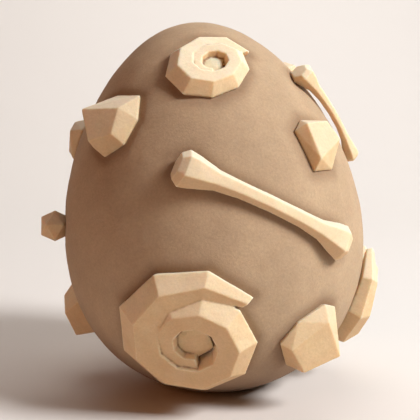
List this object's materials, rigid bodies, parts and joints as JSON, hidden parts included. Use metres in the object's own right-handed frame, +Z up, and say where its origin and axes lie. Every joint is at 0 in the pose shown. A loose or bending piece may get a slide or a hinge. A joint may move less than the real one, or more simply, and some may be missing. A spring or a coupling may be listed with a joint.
{
  "type": "fossil egg",
  "caption": "Egg-shaped stone that stands on a small flat spot, with ammonites, long bones, rock shards and pebbles bedded all round it.",
  "frame": {"origin": "middle of the small flat spot that it rests on", "axes": "+Z straight up; -Y is the front, with the largest ammonite low down and the long bone across the middle; the egg leans towards -X"},
  "size_m": [0.1686, 0.1593, 0.1795],
  "materials": {
    "egg_stone": "matte, fine sandy grain",
    "fossil_shell": "matte, worn ribs",
    "fossil_bone": "matte, slightly polished ends",
    "shard_stone": "matte, chipped faces"
  },
  "bodies": {
    "root": {"egg_body": "egg_stone", "ammonite_crown": "fossil_shell", "ammonite_front": "fossil_shell", "ammonite_right": "fossil_shell", "ammonite_back": "fossil_shell", "bone_front": "fossil_bone", "bone_shoulder": "fossil_bone", "bone_back": "fossil_bone", "shard_brow": "shard_stone", "shard_cheek": "shard_stone", "shard_foot": "shard_stone", "shard_temple": "shard_stone", "shard_hip": "shard_stone", "shard_nape": "shard_stone", "shard_back": "shard_stone", "shard_heel": "shard_stone", "shard_flank": "shard_stone", "pebble_left": "shard_stone", "pebble_back": "shard_stone", "pebble_heel": "shard_stone"}
  },
  "joints": []
}
